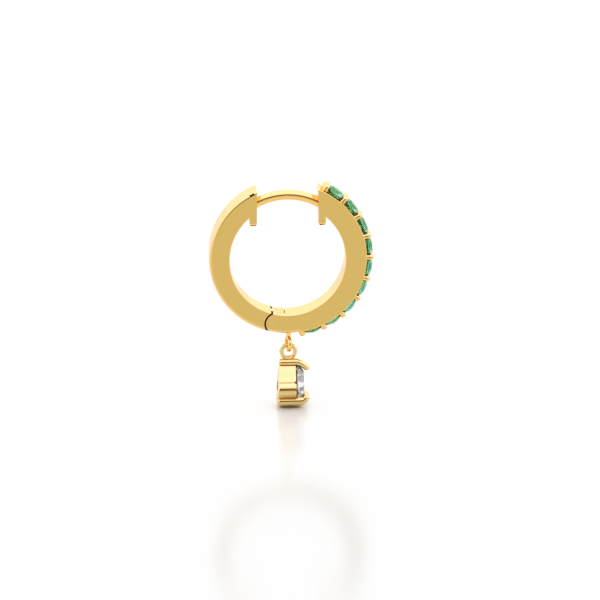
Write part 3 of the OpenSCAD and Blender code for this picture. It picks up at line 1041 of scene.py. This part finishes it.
def floor_and_light():
    """White acrylic sheet. The eye sees a clean floor that mirrors the jewel faintly, softened by
    the sheet's fine grain. Its colour is lighter within 10 mm of the jewel and darker past 26 mm: a
    painted pool of light."""
    floor_z = (CHARM_Z + LOW_BAR - LOW_CLAW_R - FLOOR_GAP) * MM
    bpy.ops.mesh.primitive_plane_add(size=6, location=(0, 0, floor_z))
    floor = added()
    floor.name = "studio_floor"
    sheet = new_material("white_acrylic_sheet")
    place = add_node(sheet, "ShaderNodeTexCoord")
    reach = add_node(
        sheet, "ShaderNodeVectorMath", {"operation": "LENGTH"}, Vector=(place, "Object")
    )
    # Painted pool of light: the sheet's colour is lighter near the jewel.
    tone = add_node(
        sheet, "ShaderNodeMapRange",
        {"interpolation_type": "SMOOTHSTEP", "From Min": 26 * MM, "From Max": 10 * MM},
        Value=(reach, "Value"),
    )
    pool_of_light_colour = add_node(sheet, "ShaderNodeMix", {"data_type": "RGBA"}, Factor=(tone, "Result"))
    pool_of_light_colour.inputs[MIX_A].default_value = srgb("#D4D4D4")
    pool_of_light_colour.inputs[MIX_B].default_value = srgb("#DEDEDE")
    shader = add_node(
        sheet, "ShaderNodeBsdfPrincipled", {"Roughness": 0.17, "IOR": 1.55},
        Base_Color=(pool_of_light_colour, MIX_OUT),
    )
    add_node(sheet, "ShaderNodeOutputMaterial", Surface=(shader, "BSDF"))
    floor.data.materials.append(sheet)
    light_tent()


def light_tent():
    """A white tent, brightest overhead, with a dim opening for the lens at the front."""
    world = bpy.data.worlds.new("light_tent")
    bpy.context.scene.world = world
    world.use_nodes = True
    world.node_tree.nodes.clear()
    way = add_node(world, "ShaderNodeTexCoord")
    parts = add_node(world, "ShaderNodeSeparateXYZ", Vector=(way, "Generated"))
    smooth = {"interpolation_type": "SMOOTHSTEP", "To Min": 0.0, "To Max": 1.0}
    front = add_node(
        world, "ShaderNodeMapRange", {"From Min": -0.75, "From Max": -0.92, **smooth},
        Value=(parts, "Y"),
    )
    low = add_node(
        world, "ShaderNodeMapRange", {"From Min": 0.5, "From Max": 0.32, **smooth},
        Value=(parts, "Z"),
    )
    opening = add_node(world, "ShaderNodeMath", {"operation": "MULTIPLY"})
    world.node_tree.links.new(front.outputs["Result"], opening.inputs[0])
    world.node_tree.links.new(low.outputs["Result"], opening.inputs[1])
    dim = add_node(
        world, "ShaderNodeMapRange", {"To Min": 1.0, "To Max": 0.22}, Value=(opening, "Value"),
    )
    high = add_node(
        world, "ShaderNodeMapRange",
        {"From Min": 0.0, "From Max": 0.9, "To Min": 1.2, "To Max": 1.48}, Value=(parts, "Z"),
    )
    glow = add_node(world, "ShaderNodeMath", {"operation": "MULTIPLY"})
    world.node_tree.links.new(dim.outputs["Result"], glow.inputs[0])
    world.node_tree.links.new(high.outputs["Result"], glow.inputs[1])
    light = add_node(
        world, "ShaderNodeBackground", {"Color": srgb("#FFFFFF")}, Strength=(glow, "Value")
    )
    add_node(world, "ShaderNodeOutputWorld", Surface=(light, "Background"))


def camera():
    """Long lens at the photograph's angle, which was fitted to points measured in it."""
    azimuth = math.radians(-3.6)
    elevation = math.radians(16.9)
    distance = 0.6
    pixel_mm = 12.54
    frame_px = 600
    bore_px = (286.93, 256.07)
    sensor_mm = 36
    flat = math.cos(elevation)
    back = Vector((math.sin(azimuth) * flat, -math.cos(azimuth) * flat, math.sin(elevation)))
    bpy.ops.object.camera_add()
    cam = added()
    cam.name = "photo_camera"
    cam.rotation_mode = "QUATERNION"
    cam.rotation_quaternion = (-back).to_track_quat("-Z", "Y")
    right = cam.rotation_quaternion @ Vector((1, 0, 0))
    up = cam.rotation_quaternion @ Vector((0, 1, 0))
    aim = Vector((0, 0, HOOP_Z * MM))
    aim += right * (frame_px / 2 - bore_px[0]) / pixel_mm * MM
    aim -= up * (frame_px / 2 - bore_px[1]) / pixel_mm * MM
    cam.location = aim + back * distance
    width = frame_px / pixel_mm * MM
    cam.data.sensor_width = sensor_mm
    cam.data.lens = sensor_mm * distance / width
    cam.data.clip_start = 0.01
    cam.data.clip_end = 20
    bpy.context.scene.camera = cam


def tone_curve():
    """The photograph's contrast: deeper low tones, and lights that stay as they are."""
    view = bpy.context.scene.view_settings
    view.view_transform = "Standard"
    view.use_curve_mapping = True
    curves = view.curve_mapping
    curve = curves.curves[ALL_COLOURS]
    low_tones = ((0.1, 0.045), (0.24, 0.14), (0.38, 0.37))
    high_tones = ((0.5, 0.5), (0.75, 0.77), (0.9, 0.96))
    for place, value in low_tones + high_tones:
        curve.points.new(place, value)
    curves.update()


deselect()
gold = polished_gold("polished_14k_gold", "#F0CC96", 0.1, 0.002)
# The charm's gold has a darker, paler tint than the hoop's: painted shade for its dimmer reflections.
charm_gold_shaded = polished_gold("tumbled_14k_gold_shaded", "#E6CCA0", 0.16, 0.003)
shade_material = painted_shade_material("painted_shade_near_black", "#171006")
build_hoop(gold, shade_material)
charm_setting(charm_gold_shaded)
dress_stones()
floor_and_light()
camera()
tone_curve()
